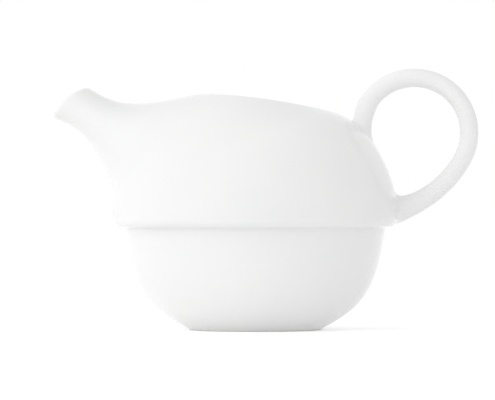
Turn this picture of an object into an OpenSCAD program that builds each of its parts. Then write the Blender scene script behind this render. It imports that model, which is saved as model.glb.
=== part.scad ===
// Porcelain gravy boat: a round stepped bowl, a domed shoulder drawn out into a
// hooded spout, and a ring handle luted to the back. Millimetres, +Z up.
// Origin: on the bowl's axis, in the plane that the foot stands on.
// The spout points to -X and the handle to +X, and XZ is the plane of symmetry.

/* [Foot] */
// Outside diameter of the foot where it bears on the table
foot_d = 50; // [42:1:60]
// Width of the bearing edge of the foot ring
foot_w = 3.4; // [2:0.2:6]
// Height of the foot ring, and of the recess inside it
foot_h = 2; // [1.2:0.2:4]

/* [Bowl] */
// Height of the underside of the step, where it meets the bowl
step_z = 38.6; // [30:0.2:50]
// Thickness of the body wall
wall = 4; // [3:0.1:5]
// Thickness of the floor of the bowl
floor_t = 4.6; // [3:0.1:7]

/* [Step] */
// Outside diameter of the body above the step
body_d = 108.6; // [90:0.2:130]
// Distance that the step stands out from the bowl
step_w = 4.9; // [2:0.1:8]
// Height of the band between the underside of the step and the shoulder
band_h = 5.4; // [5:0.2:9]
// Radius of the rounded outer edge of the step
step_r = 3; // [1:0.1:3.5]
// How far the underside of the step drops towards the bowl
step_drop = 0.5; // [0:0.1:1.4]

/* [Rim] */
// Distance of the rear edge of the rim behind the axis
rim_rear_x = 29.8; // [22:0.2:36]
// Height of the rear edge of the rim above the underside of the step
rim_rear_h = 44.2; // [38:0.2:52]
// Distance of the front edge of the rim ahead of the axis
rim_front_x = 21; // [14:0.2:28]
// Height of the front edge of the rim above the underside of the step
rim_front_h = 51.1; // [44:0.2:60]
// How far the rim bows up between its two ends
rim_bow = 0.9; // [0:0.1:2]
// Fullness of the dome that the rim is cut from: a fuller dome opens a wider rim
dome_full = 27; // [22:0.5:32]

/* [Spout] */
// Distance of the lower lip of the mouth ahead of the axis
mouth_low_x = 75.8; // [68:0.2:86]
// Height of the lower lip above the underside of the step
mouth_low_h = 41.5; // [34:0.2:50]
// Distance of the upper lip of the mouth ahead of the axis
mouth_top_x = 63.2; // [56:0.2:72]
// Height of the upper lip above the underside of the step
mouth_top_h = 53.2; // [46:0.2:62]
// Width of the mouth outside
mouth_w = 21; // [15:0.5:30]
// Thickness of the spout wall at the mouth
mouth_wall = 3; // [2:0.1:4]
// How far the sides of the mouth bow forward of its lips
mouth_bow = 1.8; // [0:0.1:3]

/* [Handle] */
// Inside diameter of the ring
ring_bore = 34.6; // [28:0.2:40]
// Diameter of the handle's round section
ring_t = 7.1; // [5:0.1:9]
// Distance from the widest radius of the body out to the centre of the ring
ring_out = 6.1; // [3:0.1:10]
// Height of the centre of the ring above the underside of the step
ring_h = 36.4; // [32:0.2:42]
// Radius that the lower arm bends to on its way down to the step
arm_r = 41; // [34:1:80]
// Height of the lower root where it meets the wall
root_h = 11; // [9:0.2:13]
// Width of the lower root where it meets the wall
root_w = 12; // [8:0.2:16]
// Length of the upper root where it meets the shoulder
lug_l = 13; // [9:0.2:15]
// Width of the upper root where it meets the shoulder
lug_w = 10.4; // [8:0.2:14]
// Depth that a root is pressed into the scored wall before firing
lute = 0.8; // [0.4:0.1:1.5]

/* [Smoothness] */
// Points round each section of the shoulder and the spout
around = 48; // [32:4:64]

/* [Hidden] */
$fn = 96;

porcelain = [0.94, 0.94, 0.93];
bisque = [0.86, 0.84, 0.80];

foot_r = foot_d / 2;
body_r = body_d / 2;
bowl_r = body_r - step_w;
band_top = step_z + band_h;

// ---------- curves ----------

function bez(p, t) =
    pow(1 - t, 3) * p[0] + 3 * t * pow(1 - t, 2) * p[1]
    + 3 * t * t * (1 - t) * p[2] + pow(t, 3) * p[3];

function bez_slope(p, t) =
    3 * (pow(1 - t, 2) * (p[1] - p[0]) + 2 * t * (1 - t) * (p[2] - p[1])
    + t * t * (p[3] - p[2]));

function unit(v) = v / norm(v);
function dir(angle) = [cos(angle), sin(angle)];
function left_of(v) = unit([-v[1], v[0]]);

// Curve from p to q that leaves p along angle a and reaches q along angle b,
// with handles given as shares of the distance.
function guide(p, a, ka, q, b, kb) = let (l = norm(q - p))
    [p, p + ka * l * dir(a), q - kb * l * dir(b), q];

// Runs from 0 to 1 with the slopes m0 and m1 at its ends.
function ease(t, m0, m1) =
    m0 * (pow(t, 3) - 2 * t * t + t) + 3 * t * t - 2 * pow(t, 3)
    + m1 * (pow(t, 3) - t * t);

// ---------- foot, bowl and step, turned about the axis ----------

foot_edge = 0.5;
foot_chamfer = 0.8;
bowl_rise = 28;    // pitch of the bowl as it leaves the foot
bowl_steep = 82;   // pitch of the bowl as it reaches the step
foot_top_r = foot_r + foot_chamfer + (foot_h - foot_chamfer) / tan(bowl_rise);
bowl_curve = guide([foot_top_r, foot_h], bowl_rise, 0.41,
                   [bowl_r, step_z], bowl_steep, 0.466);
bowl_steps = 22;

function bowl_outer(i) = bez(bowl_curve, i / bowl_steps);
function bowl_inner(i) =
    bowl_outer(i) + wall * left_of(bez_slope(bowl_curve, i / bowl_steps));

module foot_ring() {
    color(bisque)
        rotate_extrude()
            polygon([
                [foot_r - foot_w + foot_edge, 0], [foot_r - foot_edge / 2, 0],
                [foot_r, foot_edge / 2], [foot_r + foot_chamfer, foot_chamfer],
                [foot_top_r, foot_h], [foot_r - foot_w, foot_h],
                [foot_r - foot_w, foot_edge]]);
}

module bowl() {
    // The inner wall runs down in a cove to the flat floor.
    floor_z = foot_h + floor_t;
    cove_h = 1.25 * wall;
    wall_in = [for (i = [bowl_steps:-1:0]) let (p = bowl_inner(i))
        if (p[1] > floor_z + cove_h && p[1] < step_z - 0.08 * wall) p];
    low = wall_in[len(wall_in) - 1];
    cove = guide(low, 180 + 52, 0.4, [low[0] - 1.9 * cove_h, floor_z], 180, 0.4);
    color(porcelain)
        rotate_extrude()
            polygon(concat(
                [[0, foot_h]],
                [for (i = [0:bowl_steps]) bowl_outer(i)],
                [[bowl_r - wall, step_z]],
                wall_in,
                [for (i = [1:6]) bez(cove, i / 6)],
                [[0, floor_z]]));
}

module step_band() {
    centre = [body_r - step_r, step_z + step_drop + step_r];
    inside = guide([body_r - wall, band_top], 270, 0.5,
                   [bowl_r - wall, step_z], 270, 0.5);
    color(porcelain)
        rotate_extrude()
            polygon(concat(
                [[bowl_r, step_z]],
                [for (i = [0:8]) centre + step_r * dir(-70 + 70 * i / 8)],
                [[body_r, band_top]],
                [for (i = [0:8]) bez(inside, i / 8)]));
}

// ---------- shoulder and spout, one skin of slanting sections ----------
// Each section is an ellipse across the plane of symmetry. It hangs between a
// guide down the front, which ends at the lower lip, and a guide over the back,
// the dome and the hood, which ends at the upper lip.

at_rear = 0.30;    // where along the skin the rim opens
at_front = 0.62;   // and where it closes again
at_seam = 0.68;    // where the spout is joined to the shoulder
rear_pitch = 18;   // pitches of the guides, in degrees
front_pitch = 9;
hood_pitch = 35;
throat_pitch = 12;

low_lip = [-mouth_low_x, step_z + mouth_low_h];
top_lip = [-mouth_top_x, step_z + mouth_top_h];
rim_rear = [rim_rear_x, step_z + rim_rear_h];
rim_front = [-rim_front_x, step_z + rim_front_h];
// Speed along the top guide as it passes each end of the rim.
pace = 2.926 * norm(rim_front - rim_rear);

throat = guide([-body_r, band_top], 90, 0.505, low_lip, 180 - throat_pitch, 0.21);
back = guide([body_r, band_top], 90, 0.17, rim_rear, 180 - rear_pitch, 0.42);
dome = [rim_rear, rim_rear + 0.82 * dome_full * dir(180 - rear_pitch),
        rim_front - dome_full * dir(180 + front_pitch), rim_front];
hood = guide(rim_front, 180 + front_pitch, 0.39, top_lip, 180 - hood_pitch, 0.41);
girth = [body_r, body_r, 0.4 * body_r, mouth_w / 2];

// Slope that makes a guide of the top run at the set pace at one of its ends.
function paced(handle, share) = pace * share / (3 * norm(handle));

function front_at(u) = bez(throat, 0.36 * u + 0.64 * pow(u, 3.6));
function top_at(u) =
    u < at_rear
    ? bez(back, ease(u / at_rear, 1.2, paced(back[3] - back[2], at_rear)))
    : u < at_front
    ? bez(dome, ease((u - at_rear) / (at_front - at_rear),
        paced(dome[1] - dome[0], at_front - at_rear),
        paced(dome[3] - dome[2], at_front - at_rear)))
    : bez(hood, ease((u - at_front) / (1 - at_front),
        paced(hood[1] - hood[0], 1 - at_front), 1));

// How much flatter than an ellipse section u is at its top.
function flat_top(u) = 0.22 * ease(min(1, max(0, (u - 0.05) / (at_rear - 0.05))), 0, 0)
    * (1 - ease(max(0, (u - at_front) / (1 - at_front)), 0, 0));

// Point of the skin at section u, turned v degrees from the top guide.
function skin(u, v) = let (
    f = front_at(u), t = top_at(u), half = norm(t - f) / 2, e = unit(t - f),
    up = half * cos(v) * (1 + flat_top(u) * pow(sin(v), 2) * (1 + cos(v)) / 2),
    ahead = mouth_bow * pow(u, 8) * pow(sin(v), 2),
    p = (f + t) / 2 + up * e + ahead * [-e[1], e[0]])
    [p[0], bez(girth, u) * sin(v), p[1]];

function skin_normal(u, v) = let (
    du = 0.002, u0 = max(0, u - du), u1 = min(1, u + du), dv = 0.5)
    u < du ? [cos(v), sin(v), 0]
    : unit(cross(skin(u, v + dv) - skin(u, v - dv), skin(u1, v) - skin(u0, v)));

function thickness(u) = u < at_seam ? wall
    : wall + (mouth_wall - wall) * ease((u - at_seam) / (1 - at_seam), 0, 0);

// Height of the rim's cut above point p, negative where p is above the cut.
rim_mid = (rim_rear + rim_front) / 2;
rim_half = (rim_rear[0] - rim_front[0]) / 2;
function under_cut(p) = let (s = (p[0] - rim_mid[0]) / rim_half)
    rim_mid[1] + s * (rim_rear[1] - rim_front[1]) / 2 + rim_bow * (1 - s * s) - p[1];

// Angle from the top guide to the edge of the rim: 0 where the skin is closed.
function rim_angle(u) = u <= at_rear || u >= at_front ? 0 : rim_between(u, 0, 90, 30);
function rim_between(u, lo, hi, n) = n == 0 ? lo
    : let (mid = (lo + hi) / 2, p = skin(u, mid))
    under_cut([p[0], p[2]]) < 0 ? rim_between(u, mid, hi, n - 1)
    : rim_between(u, lo, mid, n - 1);

function spread(a, b, n) = [for (i = [0:n]) a + (b - a) * i / n];
// Closer together at both ends, where the rim turns across.
function crowded(a, b, n) = [for (i = [1:n - 1]) a + (b - a) * (1 - cos(180 * i / n)) / 2];

// One solid from the skin, the same skin set in by the wall, and rounded edges.
// us are its sections; the first edge is flat and the last one too, unless
// lipped rounds it over as the mouth's lip.
module shell(us, lipped) {
    n = around;
    rows = len(us);
    gaps = [for (u = us) rim_angle(u)];
    open = [for (g = gaps) g > 0.01];
    angles = [for (i = [0:rows - 1])
        [for (j = [0:open[i] ? n : n - 1]) gaps[i] + (360 - 2 * gaps[i]) * j / n]];
    starts = [for (i = 0, s = 0; i < rows; s = s + len(angles[i]), i = i + 1) s];
    outer = [for (i = [0:rows - 1]) for (v = angles[i]) skin(us[i], v)];
    norms = [for (i = [0:rows - 1]) for (v = angles[i]) skin_normal(us[i], v)];
    thick = [for (i = [0:rows - 1]) for (v = angles[i]) thickness(us[i])];
    count = len(outer);
    inner = [for (k = [0:count - 1]) outer[k] - thick[k] * norms[k]];
    function id(i, j) = starts[i] + (open[i] ? j : j % n);

    // The rim's loop: forward along one side and back along the other.
    opened = [for (i = [0:rows - 1]) if (open[i]) i];
    loop = len(opened) == 0 ? [] : concat(
        [id(opened[0] - 1, 0)], [for (i = opened) id(i, 0)],
        [id(opened[len(opened) - 1] + 1, 0)],
        [for (k = [len(opened) - 1:-1:0]) id(opened[k], n)]);
    mouth = lipped ? [for (j = [0:n - 1]) id(rows - 1, j)] : [];
    edge = lipped ? mouth : loop;
    m = len(edge);
    turns = 4;
    // Half-round over an edge, bulging into the opening it surrounds.
    round_over = m == 0 ? [] : [for (s = [1:turns - 1]) for (k = [0:m - 1]) let (
        e = edge[k], along = outer[edge[(k + 1) % m]] - outer[edge[(k + m - 1) % m]],
        out = unit(cross(norms[e], along)), phi = 180 * s / turns)
        (outer[e] + inner[e]) / 2
        + thick[e] / 2 * (cos(phi) * norms[e] + sin(phi) * out)];
    function bead(s, k) = let (q = k % m)
        s == 0 ? edge[q] : s == turns ? count + edge[q]
        : 2 * count + (s - 1) * m + q;

    function quad(a, b, c, d) = a == d ? [[a, b, c]] : b == c ? [[a, b, d]]
        : [[a, b, c], [a, c, d]];
    outer_faces = [for (i = [0:rows - 2]) for (j = [0:n - 1])
        each quad(id(i, j), id(i, j + 1), id(i + 1, j + 1), id(i + 1, j))];
    inner_faces = [for (f = outer_faces) [f[0] + count, f[2] + count, f[1] + count]];
    first_edge = [for (j = [0:n - 1]) each quad(
        id(0, j), id(0, j) + count, id(0, j + 1) + count, id(0, j + 1))];
    last_edge = lipped ? [] : [for (j = [0:n - 1]) each quad(
        id(rows - 1, j), id(rows - 1, j + 1),
        id(rows - 1, j + 1) + count, id(rows - 1, j) + count)];
    edge_faces = m == 0 ? [] : [for (s = [0:turns - 1]) for (k = [0:m - 1])
        each quad(bead(s, k), bead(s, k + 1), bead(s + 1, k + 1), bead(s + 1, k))];
    polyhedron(
        points = concat(outer, inner, round_over),
        faces = concat(outer_faces, inner_faces, first_edge, last_edge, edge_faces),
        convexity = 6);
}

module shoulder() {
    color(porcelain)
        shell(concat(
            spread(0, at_rear, 8),
            crowded(at_rear, at_front, 16),
            [at_front, (at_front + at_seam) / 2, at_seam]), false);
}

module spout() {
    color(porcelain)
        shell(concat(spread(at_seam, 0.92, 7), [0.96, 1]), true);
}

// ---------- handle ----------

ring_r = ring_bore / 2 + ring_t / 2;
ring_c = [body_r + ring_out, step_z + ring_h];
ring_ends = [-30, 148];  // where the ring turns into the arm and the upper root
arm_c = ring_c - (arm_r - ring_r) * dir(ring_ends[0]);
arm_end = -acos((body_r - lute - arm_c[0]) / arm_r);

// Share along the back guide at height z, and how deep point p lies in the wall.
function back_share(z, lo = 0, hi = 1, n = 20) = n == 0 ? lo
    : let (mid = (lo + hi) / 2)
    bez(back, mid)[1] < z ? back_share(z, mid, hi, n - 1) : back_share(z, lo, mid, n - 1);
function depth(p) = let (t = back_share(p[1]))
    (bez(back, t) - p) * -left_of(bez_slope(back, t));

// The upper root's inner edge drops straight to the shoulder, so the root leans
// inwards from the ring's circle by this much.
lean = 0.2 * ring_t;
// Where round the ring its foot lies, pressed into the shoulder.
function foot_at(a) = ring_c + (ring_r - lean) * dir(a);
function root_between(lo, hi, n) = n == 0 ? hi
    : let (mid = (lo + hi) / 2) depth(foot_at(mid)) < 2 * lute
    ? root_between(mid, hi, n - 1) : root_between(lo, mid, n - 1);
root_end = root_between(ring_ends[1], 200, 20);
root_run = bez_slope(back, back_share(foot_at(root_end)[1]));
root_slope = atan2(root_run[1], root_run[0]);

module handle_ring() {
    color(porcelain)
        translate([ring_c[0], 0, ring_c[1]])
            rotate([90, 0, 0])
                rotate([0, 0, ring_ends[0]])
                    rotate_extrude(angle = ring_ends[1] - ring_ends[0])
                        translate([ring_r, 0])
                            circle(d = ring_t, $fn = 48);
}

// A solid through round sections across the plane of symmetry: each row is
// [centre, slope of the section, half its height, half its width].
module limb(rows) {
    n = 32;
    pts = [for (r = rows) for (k = [0:n - 1]) let (a = 360 * k / n,
        p = r[0] + r[2] * cos(a) * dir(r[1])) [p[0], r[3] * sin(a), p[1]]];
    last = len(rows) - 1;
    polyhedron(
        points = pts,
        faces = concat(
            [[for (k = [n - 1:-1:0]) k]],
            [[for (k = [0:n - 1]) last * n + k]],
            [for (i = [0:last - 1]) for (k = [0:n - 1]) let (
                a = i * n + k, b = i * n + (k + 1) % n)
                each [[a, b, b + n], [a, b + n, a + n]]]),
        convexity = 4);
}

// Swell of a root: none where it leaves the handle, steep where it meets the wall.
function swell(s) = 0.35 * s * s + 0.65 * pow(s, 7);

module handle_lower_arm() {
    steps = 14;
    color(porcelain)
        limb([for (i = [0:steps]) let (s = i / steps,
            a = ring_ends[0] + (arm_end - ring_ends[0]) * s)
            [arm_c + arm_r * dir(a), a + (-90 - arm_end) * pow(s, 3),
             (ring_t + (root_h - ring_t) * swell(s)) / 2,
             (ring_t + (root_w - ring_t) * swell(s)) / 2]]);
}

module handle_upper_root() {
    steps = 10;
    color(porcelain)
        limb([for (i = [steps:-1:0]) let (s = i / steps,
            a = ring_ends[1] + (root_end - ring_ends[1]) * s)
            [ring_c + (ring_r - lean * s * s) * dir(a), a + (root_slope - root_end) * s,
             ring_t / 2 + lean * s * s + ((lug_l - ring_t) / 2 - lean) * pow(s, 6),
             (ring_t + (lug_w - ring_t) * swell(s)) / 2]]);
}

foot_ring();
bowl();
step_band();
shoulder();
spout();
handle_ring();
handle_upper_root();
handle_lower_arm();
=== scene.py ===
"""Porcelain gravy boat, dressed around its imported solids.

Metres, +Z up, the spout towards -X and the handle towards +X. The glazed body
and the handle are each one skin, as the potter leaves them.
"""

import math

import bpy
from mathutils import Euler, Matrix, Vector, kdtree
from mathutils.bvhtree import BVHTree


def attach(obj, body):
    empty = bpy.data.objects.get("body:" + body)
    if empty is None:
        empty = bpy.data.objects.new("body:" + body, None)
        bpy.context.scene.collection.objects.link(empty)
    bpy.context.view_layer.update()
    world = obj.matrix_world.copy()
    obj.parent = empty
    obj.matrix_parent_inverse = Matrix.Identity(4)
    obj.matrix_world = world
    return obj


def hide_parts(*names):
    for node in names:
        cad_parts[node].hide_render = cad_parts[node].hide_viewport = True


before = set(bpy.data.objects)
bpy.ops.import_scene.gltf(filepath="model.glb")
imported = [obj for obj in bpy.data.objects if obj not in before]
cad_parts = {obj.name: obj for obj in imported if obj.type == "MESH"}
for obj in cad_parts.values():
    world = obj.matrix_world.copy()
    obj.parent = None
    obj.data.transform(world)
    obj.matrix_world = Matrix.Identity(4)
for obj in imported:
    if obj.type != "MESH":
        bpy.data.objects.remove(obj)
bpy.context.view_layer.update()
scene = bpy.context.scene
bpy.ops.object.select_all(action="DESELECT")

# ---------------------------------------------------------------- sizes, in mm

FOOT_R = 25.0
FOOT_W = 3.4
FOOT_H = 2.0
BOWL_R = 49.4
STEP_Z = 38.6
WALL = 4.0
FLOOR_Z = 6.6
COVE_H = 1.25 * WALL
COVE_W = 1.9 * COVE_H
BODY_R = 54.3
BAND_TOP = 44.0
STEP_R = 3.0
STEP_DROP = 0.5
MOUTH_W = 21.0
MOUTH_WALL = 3.0
MOUTH_BOW = 1.8
RIM_BOW = 0.9
DOME_FULL = 27.0
RING_T = 7.1
ARM_R = 41.0
ROOT_H = 11.0
ROOT_W = 12.0
LUG_L = 13.0
LUG_W = 10.4
LUTE = 0.8
LEAN = 0.2 * RING_T

# Where the finger hole of the ring is, and how wide.
HOLE_W = 34.6
RING_OUT = 6.1
RING_UP = 36.4

# Angles between which the ring is plain, and where it starts to thicken.
RING_FROM, RING_TO = -30.0, 148.0
SETTLE_FROM = 136.0
SETTLE_SOFT = 8.0  # degrees over which the thickening sets in

# Collars of slip: their width above and below the handle, and at its sides.
UPPER_COLLAR = (2.0, 3.6)
LOWER_COLLAR = (2.6, 4.0)
# How far each collar runs out past that, and how high it lies on the glaze there.
RUN_OUT = ((0.25, -0.006), (0.6, -0.02), (1.0, -0.05), (1.1, -0.6))

# ---------------------------------------------------------------- how fine

AROUND = 96  # points round the body
HANDLE_AROUND = 40  # points round the handle
BOWL_ROWS = 18
WALL_ROWS = 24
REAR_ROWS = 16
RIM_ROWS = 26
FRONT_ROWS = 16
EDGE_CUTS = 5  # rows across the rounded rim and lip
RING_ROWS = 44
UPPER_ROOT_ROWS, LOWER_ROOT_ROWS = 12, 18
SAME_PLACE = 2e-6  # metres between points that are one


# ---------------------------------------------------------------------- curves


def point(x, z):
    return Vector((x, z))


def heading(degrees):
    return Vector((math.cos(math.radians(degrees)), math.sin(math.radians(degrees))))


def bezier(p, t):
    s = 1 - t
    return s**3 * p[0] + 3 * t * s * s * p[1] + 3 * t * t * s * p[2] + t**3 * p[3]


def bezier_run(p, t):
    s = 1 - t
    return 3 * (
        s * s * (p[1] - p[0]) + 2 * t * s * (p[2] - p[1]) + t * t * (p[3] - p[2])
    )


def left_of(v):
    return Vector((-v[1], v[0])).normalized()


def guide(p, leave, share_p, q, reach, share_q):
    """Curve from p to q that leaves and reaches along the two headings."""
    span = (q - p).length
    return [
        p,
        p + share_p * span * heading(leave),
        q - share_q * span * heading(reach),
        q,
    ]


def ease(t, start=0.0, end=0.0):
    return (
        start * (t**3 - 2 * t * t + t)
        + 3 * t * t
        - 2 * t**3
        + end * (t**3 - t * t)
    )


def steps(a, b, n):
    return [a + (b - a) * i / n for i in range(n + 1)]


def holds_to(test, low, high, halvings):
    """How far from low towards high a test still holds."""
    for _ in range(halvings):
        mid = (low + high) / 2
        low, high = (mid, high) if test(mid) else (low, mid)
    return low


# ----------------------------------------------------- the body's guide curves

# Shares of the way from the step to the lip, at the rim's two ends and the seam.
AT_REAR, AT_FRONT, AT_SEAM = 0.30, 0.62, 0.68

low_lip = point(-75.8, STEP_Z + 41.5)
top_lip = point(-63.2, STEP_Z + 53.2)
rim_rear = point(29.8, STEP_Z + 44.2)
rim_front = point(-21.0, STEP_Z + 51.1)

throat = guide(point(-BODY_R, BAND_TOP), 90, 0.505, low_lip, 168, 0.21)
back = guide(point(BODY_R, BAND_TOP), 90, 0.17, rim_rear, 162, 0.42)
dome = [
    rim_rear,
    rim_rear + 0.82 * DOME_FULL * heading(162),
    rim_front - DOME_FULL * heading(189),
    rim_front,
]
hood = guide(rim_front, 189, 0.39, top_lip, 145, 0.41)
# half the width of each section, from the step to the mouth
girth = [BODY_R, BODY_R, 0.4 * BODY_R, MOUTH_W / 2]
# how fast the sections pass along the top, equal on both sides of each rim end
PACE = 2.926 * (rim_front - rim_rear).length
FLATTENED = 0.22
FLAT_FROM = 0.05


def paced(handle, share):
    return PACE * share / (3 * handle.length)


def front_at(u):
    """Point on the throat: slow over the shoulder, and fast into the spout."""
    return bezier(throat, 0.36 * u + 0.64 * u**3.6)


def top_at(u):
    if u < AT_REAR:
        return bezier(back, ease(u / AT_REAR, 1.2, paced(back[3] - back[2], AT_REAR)))
    if u < AT_FRONT:
        share = AT_FRONT - AT_REAR
        return bezier(
            dome,
            ease(
                (u - AT_REAR) / share,
                paced(dome[1] - dome[0], share),
                paced(dome[3] - dome[2], share),
            ),
        )
    share = 1 - AT_FRONT
    return bezier(
        hood, ease((u - AT_FRONT) / share, paced(hood[1] - hood[0], share), 1)
    )


def flat_top(u):
    """How far the section fills out beside its top."""
    rise = ease(min(1, max(0, (u - FLAT_FROM) / (AT_REAR - FLAT_FROM))))
    fall = ease(max(0, (u - AT_FRONT) / (1 - AT_FRONT)))
    return FLATTENED * rise * (1 - fall)


def skin(u, v):
    """Point of the outer skin at section u, v radians round from the top."""
    front, top = front_at(u), top_at(u)
    half, e = (top - front).length / 2, (top - front).normalized()
    up = half * math.cos(v) * (
        1 + flat_top(u) * math.sin(v) ** 2 * (1 + math.cos(v)) / 2
    )
    ahead = MOUTH_BOW * u**8 * math.sin(v) ** 2
    p = (front + top) / 2 + up * e + ahead * Vector((-e[1], e[0]))
    return Vector((p[0], bezier(girth, u) * math.sin(v), p[1]))


def skin_normal(u, v):
    du, dv = 0.002, math.radians(0.5)
    if u < du:
        return Vector((math.cos(v), math.sin(v), 0))
    across = skin(u, v + dv) - skin(u, v - dv)
    along = skin(min(1, u + du), v) - skin(max(0, u - du), v)
    return across.cross(along).normalized()


def wall_at(u):
    if u < AT_SEAM:
        return WALL
    return WALL + (MOUTH_WALL - WALL) * ease((u - AT_SEAM) / (1 - AT_SEAM))


rim_middle = (rim_rear + rim_front) / 2
rim_half = (rim_rear[0] - rim_front[0]) / 2


def rim_angle(u):
    """Angle from the top to the edge of the rim, 0 where the skin is closed."""
    if u <= AT_REAR + 1e-9 or u >= AT_FRONT - 1e-9:
        return 0.0

    def above_rim(v):
        p = skin(u, v)
        s = (p.x - rim_middle[0]) / rim_half
        tilt = s * (rim_rear[1] - rim_front[1]) / 2
        return rim_middle[1] + tilt + RIM_BOW * (1 - s * s) < p.z

    return holds_to(above_rim, 0.0, math.pi / 2, 30)


# ------------------------------------------------------------ modelling helpers


def edit(obj):
    bpy.ops.object.select_all(action="DESELECT")
    obj.select_set(True)
    bpy.context.view_layer.objects.active = obj
    bpy.ops.object.mode_set(mode="EDIT")
    bpy.ops.mesh.select_all(action="SELECT")


def leave_edit():
    bpy.ops.object.mode_set(mode="OBJECT")


def edit_open_edges(obj):
    """Go into edit mode with only the edges of open holes selected."""
    edit(obj)
    bpy.ops.mesh.select_all(action="DESELECT")
    bpy.context.tool_settings.mesh_select_mode = (False, True, False)
    bpy.ops.mesh.select_non_manifold(
        extend=False,
        use_wire=False,
        use_boundary=True,
        use_multi_face=False,
        use_non_contiguous=False,
        use_verts=False,
    )


def rolled_sheet(name, rows):
    """A grid of clay with each row laid on its section: rows are lists of mm."""
    n = len(rows[0]) - 1
    bpy.ops.mesh.primitive_grid_add(
        x_subdivisions=n, y_subdivisions=len(rows) - 1, size=2
    )
    obj = bpy.context.active_object
    obj.name = obj.data.name = name
    for vert in obj.data.vertices:
        j = round((vert.co.x + 1) / 2 * n)
        i = round((vert.co.y + 1) / 2 * (len(rows) - 1))
        vert.co = rows[i][j] * 0.001
    edit(obj)
    bpy.ops.mesh.remove_doubles(threshold=SAME_PLACE)
    leave_edit()
    return obj


def finish_skin(obj):
    """Close the skin outwards, round it by one subdivision, and smooth it."""
    edit(obj)
    bpy.ops.mesh.normals_make_consistent(inside=False)
    leave_edit()
    smooth = obj.modifiers.new("soften", "SUBSURF")
    smooth.levels = smooth.render_levels = 1
    bpy.context.view_layer.objects.active = obj
    bpy.ops.object.modifier_apply(modifier=smooth.name)
    bpy.ops.object.select_all(action="DESELECT")
    obj.select_set(True)
    bpy.ops.object.shade_smooth()


def turned(r, z):
    """One ring of the wheel-thrown part."""
    return [
        Vector((r * math.cos(a), r * math.sin(a), z))
        for a in steps(0, 2 * math.pi, AROUND)
    ]


# --------------------------------------------------------------- the body piece

foot_top_r = FOOT_R + 0.8 + 1.2 / math.tan(math.radians(28))
bowl_curve = guide(
    point(foot_top_r, FOOT_H), 28, 0.41, point(BOWL_R, STEP_Z), 82, 0.466
)


def bowl_inner(t):
    return bezier(bowl_curve, t) + WALL * left_of(bezier_run(bowl_curve, t))


def foot_rows():
    """From the middle of the recess, round the bearing edge, to the bowl."""
    recess = FOOT_R - FOOT_W
    return [
        (0.0, FOOT_H), (5.0, FOOT_H), (11.0, FOOT_H), (16.5, FOOT_H),
        (20.2, FOOT_H), (21.2, 1.92), (recess, 1.5), (recess + 0.05, 0.7),
        (recess + 0.2, 0.2), (recess + 0.6, 0.0), (recess + 1.6, 0.0),
        (FOOT_R - 0.5, 0.0), (FOOT_R - 0.1, 0.1), (FOOT_R + 0.3, 0.4),
        (FOOT_R + 0.8, 0.8), (FOOT_R + 1.6, 1.23),
    ]


def step_rows():
    """Little hollow under the step, the rounded edge, and the band above it."""
    centre = point(BODY_R - STEP_R, STEP_Z + STEP_DROP + STEP_R)
    rows = [(BOWL_R - 0.02, STEP_Z - 0.9), (BOWL_R + 0.05, STEP_Z - 0.35),
            (BOWL_R + 0.35, STEP_Z - 0.02), (BOWL_R + 0.9, STEP_Z + 0.16),
            (BOWL_R + 1.9, STEP_Z + 0.44)]
    for a in steps(-70, 0, 6):
        rows.append(tuple(centre + STEP_R * heading(a)))
    rows.append((BODY_R, STEP_Z + 4.3))
    return rows


def inner_rows():
    """The inside from the step down: the wall, the cove, and the floor."""
    inside = guide(
        point(BODY_R - WALL, BAND_TOP), 270, 0.5, point(BOWL_R - WALL, STEP_Z), 270, 0.5
    )
    rows = [tuple(bezier(inside, t)) for t in (0.2, 0.4, 0.6, 0.8)]
    wall_in = [bowl_inner(1 - i / WALL_ROWS) for i in range(WALL_ROWS + 1)]
    wall_in = [p for p in wall_in if FLOOR_Z + COVE_H < p[1] < STEP_Z - 0.3]
    rows += [tuple(p) for p in wall_in]
    low = wall_in[-1]
    edge = low[0] - COVE_W
    cove = guide(low, 232, 0.4, point(edge, FLOOR_Z), 180, 0.4)
    rows += [tuple(bezier(cove, t)) for t in (0.17, 0.34, 0.5, 0.67, 0.84, 1)]
    return rows + [(edge * s, FLOOR_Z) for s in (0.85, 0.65, 0.42, 0.2, 0.0)]


def section_shares():
    """Sections of the shoulder and spout, closer together where the rim turns."""
    rear = [AT_REAR * (1 - (1 - s) ** 1.7) for s in steps(0, 1, REAR_ROWS)]
    rim = [
        AT_REAR + (AT_FRONT - AT_REAR) * (1 - math.cos(math.pi * s)) / 2
        for s in steps(0, 1, RIM_ROWS)[1:-1]
    ]
    front = [AT_FRONT + (1 - AT_FRONT) * s**1.5 for s in steps(0, 1, FRONT_ROWS)]
    return rear + rim + front


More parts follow.
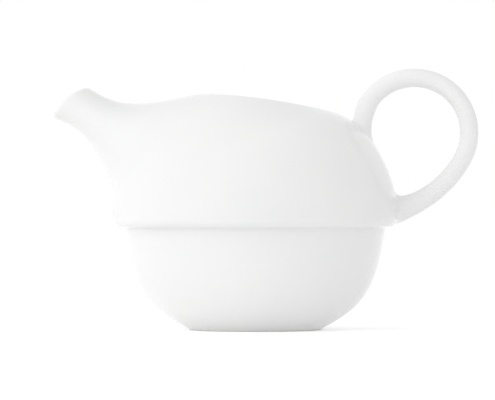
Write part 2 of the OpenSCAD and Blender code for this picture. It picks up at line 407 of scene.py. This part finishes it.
def make_body():
    shares = section_shares()
    outer, normals, inner, gaps = [], [], [], []
    for u in shares:
        gap = rim_angle(u)
        gaps.append(gap)
        angles = steps(gap, 2 * math.pi - gap, AROUND)
        row = [skin(u, v) for v in angles]
        norm = [skin_normal(u, v) for v in angles]
        if gap == 0:
            row[-1], norm[-1] = row[0], norm[0]
        outer.append(row)
        normals.append(norm)
        inner.append([p - wall_at(u) * d for p, d in zip(row, norm)])

    def rounded(loop):
        """Half-round edges: for each point of a loop, its places from out to in."""
        places = []
        for k, (i, j) in enumerate(loop):
            ahead, behind = loop[(k + 1) % len(loop)], loop[k - 1]
            along = outer[ahead[0]][ahead[1]] - outer[behind[0]][behind[1]]
            norm = normals[i][j]
            out = norm.cross(along).normalized()
            middle = (outer[i][j] + inner[i][j]) / 2
            half = (outer[i][j] - inner[i][j]).length / 2
            places.append(
                [
                    middle + half * (math.cos(a) * norm + math.sin(a) * out)
                    for a in steps(0, math.pi, EDGE_CUTS + 1)
                ]
            )
        return places

    last = len(shares) - 1
    lip = rounded([(last, j) for j in range(AROUND)])
    lip_rows = [
        [lip[j % AROUND][s] for j in range(AROUND + 1)]
        for s in range(1, EDGE_CUTS + 1)
    ]

    bowl_outer = [tuple(bezier(bowl_curve, t)) for t in steps(0, 0.955, BOWL_ROWS)]
    rows = [turned(r, z) for r, z in foot_rows() + bowl_outer + step_rows()]
    rows += outer + lip_rows + inner[::-1]
    rows += [turned(r, z) for r, z in inner_rows()]
    body = rolled_sheet("glazed_body", rows)

    # the rim's outer and inner edges are bridged, and the bridge is rounded
    opened = [i for i, gap in enumerate(gaps) if gap > 0]
    loop = (
        [(opened[0] - 1, 0)]
        + [(i, 0) for i in opened]
        + [(opened[-1] + 1, 0)]
        + [(i, AROUND) for i in reversed(opened)]
    )
    bead = rounded(loop)
    edit_open_edges(body)
    bpy.ops.mesh.bridge_edge_loops(
        type="PAIRS", number_cuts=EDGE_CUTS, interpolation="LINEAR"
    )
    leave_edit()
    spots = kdtree.KDTree(len(bead) * EDGE_CUTS)
    rounded_spots = []
    for places in bead:
        for s in range(1, EDGE_CUTS + 1):
            flat = places[0].lerp(places[-1], s / (EDGE_CUTS + 1))
            spots.insert(flat, len(rounded_spots))
            rounded_spots.append(places[s])
    spots.balance()
    for vert in body.data.vertices:
        _, which, distance = spots.find(vert.co * 1000)
        if distance < 1e-3:
            vert.co = rounded_spots[which] * 0.001
    finish_skin(body)
    return body


# ------------------------------------------------------------------- the handle

ring_r = HOLE_W / 2 + RING_T / 2
ring_c = point(BODY_R + RING_OUT, STEP_Z + RING_UP)
arm_c = ring_c - (ARM_R - ring_r) * heading(RING_FROM)
arm_end = -math.degrees(math.acos((BODY_R - LUTE - arm_c[0]) / ARM_R))


def back_share(z):
    return holds_to(lambda t: bezier(back, t)[1] < z, 0.0, 1.0, 24)


def foot_at(a):
    """A point just inside the ring's middle line, at an angle round the ring."""
    return ring_c + (ring_r - LEAN) * heading(a)


def depth(p):
    """How deep a point lies inside the back of the shoulder."""
    t = back_share(p[1])
    return (bezier(back, t) - p).dot(-left_of(bezier_run(back, t)))


# the root ends where that point is deep enough in the wall
root_end = holds_to(lambda a: depth(foot_at(a)) < 2 * LUTE, RING_TO, 200.0, 24)
root_run = bezier_run(back, back_share(foot_at(root_end)[1]))
root_slope = math.degrees(math.atan2(root_run[1], root_run[0]))


def swell(s):
    """How far the handle has thickened at share s of the way to its end."""
    return 0.35 * s * s + 0.65 * s**7


def settle(a):
    """How far slip thickens the ring inwards as it nears its root, by angle."""
    d = max(0.0, a - SETTLE_FROM)
    gentle = math.hypot(d, SETTLE_SOFT) - SETTLE_SOFT
    return 0.0008 * d * d + 0.035 * gentle


def ring_section(a):
    more = settle(a) / 2
    return (ring_c + (ring_r - more) * heading(a), a, RING_T / 2 + more, RING_T / 2)


def arm_section(s):
    a = RING_FROM + (arm_end - RING_FROM) * s
    return (
        arm_c + ARM_R * heading(a),
        a + (-90 - arm_end) * s**3,
        (RING_T + (ROOT_H - RING_T) * swell(s)) / 2,
        (RING_T + (ROOT_W - RING_T) * swell(s)) / 2,
    )


def root_section(s):
    a = RING_TO + (root_end - RING_TO) * s
    more = settle(a) / 2
    return (
        ring_c + (ring_r - more) * heading(a),
        a + (root_slope - root_end) * s,
        RING_T / 2 + more + ((LUG_L - RING_T) / 2 - LEAN) * s**6,
        (RING_T + (LUG_W - RING_T) * swell(s)) / 2,
    )


def around_section(section, a):
    centre, slope, half_h, half_w = section
    p = centre + half_h * math.cos(a) * heading(slope)
    return Vector((p[0], half_w * math.sin(a), p[1]))


def luted_end(section_at, body_tree, fillets, rows):
    """Rows from the ring's end to the wall, with a soft collar of slip.

    The collar is as wide as fillets[0] above and below, and fillets[1] at the sides.
    """

    def height(p):
        near, normal, _, _ = body_tree.find_nearest(p * 0.001)
        return (p - near * 1000).dot(normal)

    columns = []
    for a in steps(0, 2 * math.pi, HANDLE_AROUND)[:-1]:
        fillet = fillets[0] + (fillets[1] - fillets[0]) * math.sin(a) ** 2

        def at_height(h):
            if height(around_section(section_at(1.0), a)) > h:
                return 1.0
            return holds_to(
                lambda s: height(around_section(section_at(s), a)) > h, 0.0, 1.0, 20
            )

        start, touch = at_height(fillet), at_height(0.0)
        column = [around_section(section_at(start * s), a) for s in steps(0, 1, rows)]
        corner = around_section(section_at(touch), a)
        centre = section_at(touch)[0]
        out = corner - Vector((centre[0], 0, centre[1]))
        _, normal, _, _ = body_tree.find_nearest(corner * 0.001)
        out = (out - out.dot(normal) * normal).normalized()

        def on_wall(reach, lift):
            near, normal, _, _ = body_tree.find_nearest((corner + reach * out) * 0.001)
            return near * 1000 + lift * normal

        p, toe = column[-1], on_wall(fillet, 0.0)
        for t in (0.12, 0.24, 0.36, 0.48, 0.6, 0.72, 0.84, 0.94):
            column.append((1 - t) ** 2 * p + 2 * t * (1 - t) * corner + t * t * toe)
        # the collar runs out flat and is tucked just under the glaze
        for reach, lift in RUN_OUT:
            column.append(on_wall(fillet + reach, lift))
        columns.append(column)
    columns.append(columns[0])
    return [[column[i] for column in columns] for i in range(len(columns[0]))]


def make_handle(body):
    tree = BVHTree.FromPolygons(
        [v.co for v in body.data.vertices], [p.vertices for p in body.data.polygons]
    )
    upper = luted_end(root_section, tree, UPPER_COLLAR, UPPER_ROOT_ROWS)
    lower = luted_end(arm_section, tree, LOWER_COLLAR, LOWER_ROOT_ROWS)
    ring = []
    for a in steps(RING_TO, RING_FROM, RING_ROWS)[1:-1]:
        section = ring_section(a)
        ring.append(
            [around_section(section, b) for b in steps(0, 2 * math.pi, HANDLE_AROUND)]
        )
    rows = upper[::-1] + ring + lower
    for row in rows:
        row[-1] = row[0]
    handle = rolled_sheet("handle", rows)
    edit_open_edges(handle)
    bpy.ops.mesh.fill_holes(sides=0)
    leave_edit()
    finish_skin(handle)
    return handle


# --------------------------------------------------------------------- material

# Colours of the clear glaze over white body, and of the bare fired foot.
GLAZE_THIN = (0.905, 0.905, 0.9, 1)
GLAZE_POOLED = (0.89, 0.892, 0.892, 1)
BARE = (0.84, 0.82, 0.78, 1)
BARE_RUBBED = (0.7, 0.67, 0.62, 1)
GLAZE_IOR = 1.5
# Metres: where the glaze starts on the foot, and how high ripple and grit stand.
WIPED_TO = (0.00035, 0.0006)
RIPPLE_H = 0.000012
GRIT_H = 0.00004


class Socket:
    """A node's output, with Python's operators adding the Math nodes."""

    def __init__(self, tree, out):
        self.tree, self.out = tree, out

    def _math(self, operation, a, b=None):
        return node(self.tree, "ShaderNodeMath", {"operation": operation}, {0: a, 1: b})

    def __add__(self, other):
        return self._math("ADD", self, other)

    __radd__ = __add__

    def __sub__(self, other):
        return self._math("SUBTRACT", self, other)

    def __rsub__(self, other):
        return self._math("SUBTRACT", other, self)

    def __mul__(self, other):
        return self._math("MULTIPLY", self, other)

    def __rmul__(self, other):
        return self._math("MULTIPLY", other, self)

    def __pow__(self, other):
        return self._math("POWER", self, other)


def node(tree, kind, settings=None, inputs=None, output=0):
    """A new node with its settings, then its sockets' values or links."""
    made = tree.nodes.new(kind)
    for name, value in (settings or {}).items():
        setattr(made, name, value)
    for key, value in (inputs or {}).items():
        if isinstance(value, Socket):
            tree.links.new(value.out, made.inputs[key])
        elif value is not None:
            made.inputs[key].default_value = value
    return Socket(tree, made.outputs[output])


def empty_tree(owner):
    """The node tree of a material or world, with nothing in it."""
    owner.use_nodes = True
    owner.node_tree.nodes.clear()
    return owner.node_tree


def mixed(tree, share, first, second):
    """A colour between two others. Mix keeps its colours on sockets 6, 7 and 2."""
    return node(
        tree,
        "ShaderNodeMix",
        {"data_type": "RGBA"},
        {0: share, 6: first, 7: second},
        output=2,
    )


def split_xyz(tree, source):
    apart = tree.nodes.new("ShaderNodeSeparateXYZ")
    tree.links.new(source.out, apart.inputs[0])
    return [Socket(tree, out) for out in apart.outputs]


def finish_tree(tree, kind, shader):
    out = tree.nodes.new(kind)
    tree.links.new(shader.outputs[0], out.inputs[0])


def porcelain_glaze():
    material = bpy.data.materials.new("porcelain_glaze")
    tree = empty_tree(material)
    place = node(tree, "ShaderNodeTexCoord", output="Object")
    height = split_xyz(tree, place)[2]

    def noise(scale, detail=2.0, roughness=0.5):
        return node(
            tree,
            "ShaderNodeTexNoise",
            {},
            {"Vector": place, "Scale": scale, "Detail": detail, "Roughness": roughness},
        )

    def ramp(value, low, high):
        return node(
            tree,
            "ShaderNodeMapRange",
            {"interpolation_type": "SMOOTHSTEP"},
            {"Value": value, "From Min": low, "From Max": high},
        )

    # the glaze pools a little and thins a little, over a few centimetres
    pooling = noise(38.0, 3.0)
    # wiped free of glaze where it stands, up to an uneven line
    uneven = height + (noise(420.0) - 0.5) * 0.0003
    wiped = 1 - ramp(uneven, *WIPED_TO)
    rubbed = ramp(noise(900.0, 4.0, 0.7), 0.52, 0.72)

    glaze_tint = mixed(tree, ramp(pooling, 0.3, 0.7), GLAZE_THIN, GLAZE_POOLED)
    bare_tint = mixed(tree, rubbed, BARE, BARE_RUBBED)
    colour = mixed(tree, wiped, glaze_tint, bare_tint)
    roughness = 0.11 + 0.05 * pooling + wiped * 0.55
    ripple = noise(210.0, 1.0) * 0.6 + noise(620.0, 2.0) * 0.12
    grit = noise(4200.0, 3.0, 0.8) * wiped
    relief = ripple * RIPPLE_H + grit * GRIT_H
    bump = node(
        tree,
        "ShaderNodeBump",
        {},
        {"Strength": 1.0, "Distance": 1.0, "Height": relief},
    )
    shader = tree.nodes.new("ShaderNodeBsdfPrincipled")
    shader.inputs["IOR"].default_value = GLAZE_IOR
    shader.inputs["Specular IOR Level"].default_value = 0.5
    for name, value in (
        ("Base Color", colour),
        ("Roughness", roughness),
        ("Normal", bump),
    ):
        tree.links.new(value.out, shader.inputs[name])
    finish_tree(tree, "ShaderNodeOutputMaterial", shader)
    return material


# ------------------------------------------------------------- floor and lights

WHITE = (1, 1, 1, 1)
FLOOR_W = 6
FLOOR_PALE = (0.86, 0.86, 0.86, 1)
# The floor's own glow lights the underside. It is lifted where it is seen.
FLOOR_GLOW = 0.14
SEEN_LIFT = 0.25
# The tent's light: even all round, and what each side and the back add to it.
TENT_EVEN, TENT_LEFT, TENT_RIGHT, TENT_BACK = 0.69, 0.86, 0.09, -0.2
# Its sides stand 25 degrees forward, and the dimmer place is 35 above the back.
SIDE_COS, SIDE_SIN = math.cos(math.radians(25)), math.sin(math.radians(25))
BACK_COS, BACK_SIN = math.cos(math.radians(35)), math.sin(math.radians(35))


def larger(tree, first, second):
    return node(
        tree, "ShaderNodeMath", {"operation": "MAXIMUM"}, {0: first, 1: second}
    )


def where_seen(tree):
    """1 for rays that show the backdrop, straight or mirrored, and 0 for the rest."""
    path = tree.nodes.new("ShaderNodeLightPath")
    camera, glossy, through = (
        Socket(tree, path.outputs[name])
        for name in ("Is Camera Ray", "Is Glossy Ray", "Is Transmission Ray")
    )
    return larger(tree, larger(tree, camera, glossy), through)


def make_floor():
    """A pale sweep, lit a little from within like a light table."""
    bpy.ops.mesh.primitive_plane_add(size=FLOOR_W, location=(0, 0, 0))
    floor = bpy.context.active_object
    floor.name = "floor"
    material = bpy.data.materials.new("pale_floor")
    tree = empty_tree(material)
    pale = tree.nodes.new("ShaderNodeBsdfDiffuse")
    pale.inputs[0].default_value = FLOOR_PALE
    glow = tree.nodes.new("ShaderNodeEmission")
    glow.inputs[0].default_value = WHITE
    level = FLOOR_GLOW + SEEN_LIFT * where_seen(tree)
    tree.links.new(level.out, glow.inputs[1])
    both = tree.nodes.new("ShaderNodeAddShader")
    tree.links.new(pale.outputs[0], both.inputs[0])
    tree.links.new(glow.outputs[0], both.inputs[1])
    finish_tree(tree, "ShaderNodeOutputMaterial", both)
    floor.data.materials.append(material)


def make_world():
    """A white tent: the same light all round, more from its sides, less behind."""
    world = bpy.data.worlds.new("studio")
    scene.world = world
    tree = empty_tree(world)
    x, y, z = split_xyz(tree, node(tree, "ShaderNodeTexCoord", output="Generated"))

    def towards(value):
        return larger(tree, value, 0.0)

    tent = (
        TENT_EVEN
        + TENT_LEFT * towards(0 - x * SIDE_COS - y * SIDE_SIN)
        + TENT_RIGHT * towards(x * SIDE_COS - y * SIDE_SIN)
        + TENT_BACK * towards(y * BACK_COS + z * BACK_SIN) ** 4
    )
    # seen or mirrored, the backdrop is plain white
    strength = tent + where_seen(tree) * (1 - tent)
    ground = tree.nodes.new("ShaderNodeBackground")
    ground.inputs[0].default_value = WHITE
    tree.links.new(strength.out, ground.inputs[1])
    finish_tree(tree, "ShaderNodeOutputWorld", ground)


# --------------------------------------------------------------------- assembly

body = make_body()
handle = make_handle(body)
glaze = porcelain_glaze()
for piece in (body, handle):
    piece.data.materials.clear()
    piece.data.materials.append(glaze)
    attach(piece, "root")
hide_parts("foot_ring", "bowl", "step_band", "shoulder", "spout")
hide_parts("handle_ring", "handle_upper_root", "handle_lower_arm")

make_floor()
make_world()

LENS = 306
CAMERA_AT = (-0.00304, -1.6, 0.0494)

# a long lens from straight in front, level, at the height of the boat's middle
camera_data = bpy.data.cameras.new("camera")
camera_data.lens = LENS
camera_data.clip_start = 0.05
camera = bpy.data.objects.new("camera", camera_data)
scene.collection.objects.link(camera)
camera.location = CAMERA_AT
camera.rotation_euler = Euler((math.pi / 2, 0, 0))
scene.camera = camera
scene.view_settings.view_transform = "Standard"
